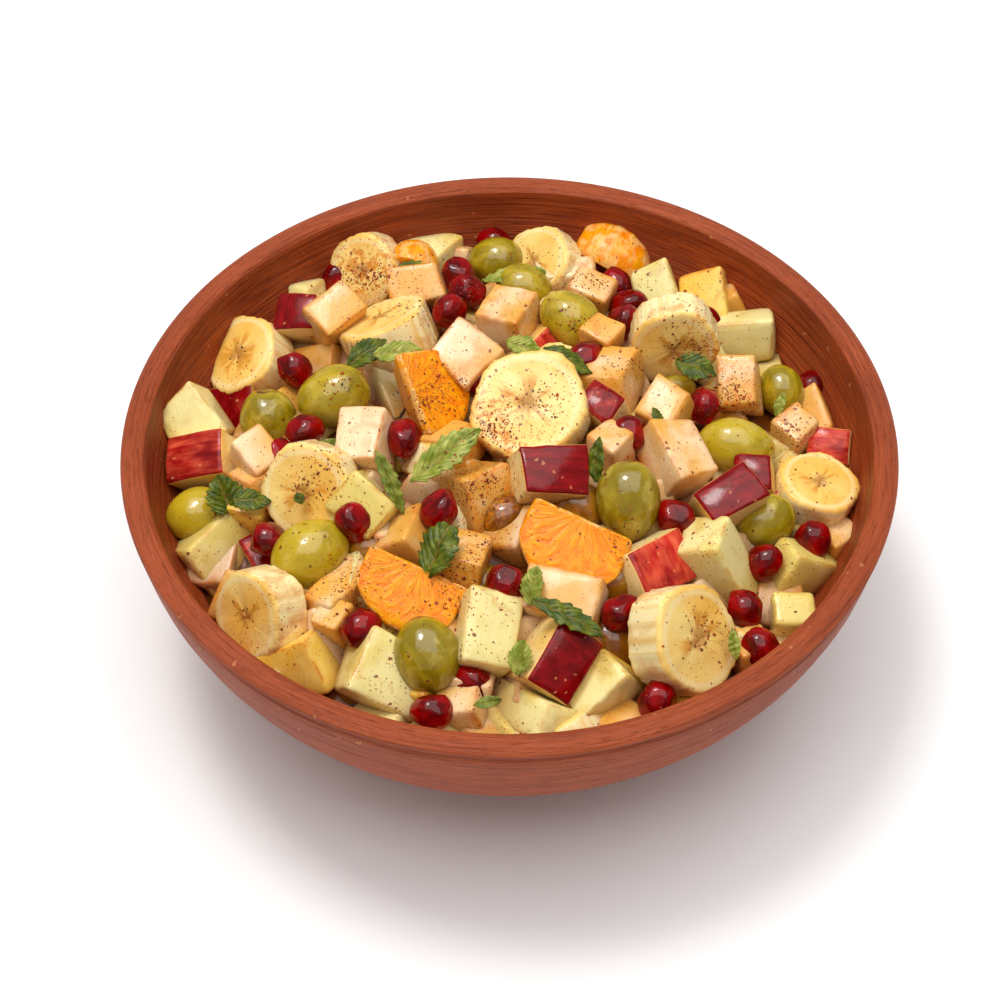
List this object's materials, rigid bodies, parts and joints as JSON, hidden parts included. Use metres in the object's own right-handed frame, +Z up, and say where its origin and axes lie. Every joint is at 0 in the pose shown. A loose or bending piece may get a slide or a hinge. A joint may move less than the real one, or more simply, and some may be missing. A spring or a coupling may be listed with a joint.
{
  "type": "fruit salad",
  "caption": "Turned clay bowl heaped with cut fruit salad: apple, melon, mango, banana, grapes, orange and pomegranate seeds with mint and ground spice.",
  "frame": {"origin": "on the table under the middle of the bowl's foot", "axes": "+Z up through the middle of the bowl; -Y towards the side that the heap was dressed to face"},
  "size_m": [0.2066, 0.2066, 0.0845],
  "materials": {
    "clay": "unglazed burnished red-brown clay with fine turning lines",
    "fruit": "wet cut fruit in thin amber juice",
    "apple_flesh": "wet cream apple flesh with spiced edges",
    "apple_skin": "glossy crimson apple skin",
    "melon": "wet pale green melon flesh",
    "mango": "wet yellow mango flesh",
    "banana": "moist banana slice with a darker star",
    "grape": "glossy yellow-green grape skin",
    "orange": "wet orange pulp with pale membrane",
    "pomegranate": "ruby red wet seed",
    "mint": "torn fresh mint leaf",
    "spice": "ground chilli and black pepper grains"
  },
  "bodies": {
    "root": {"bowl": "clay", "salad_heap": "fruit"}
  },
  "joints": []
}
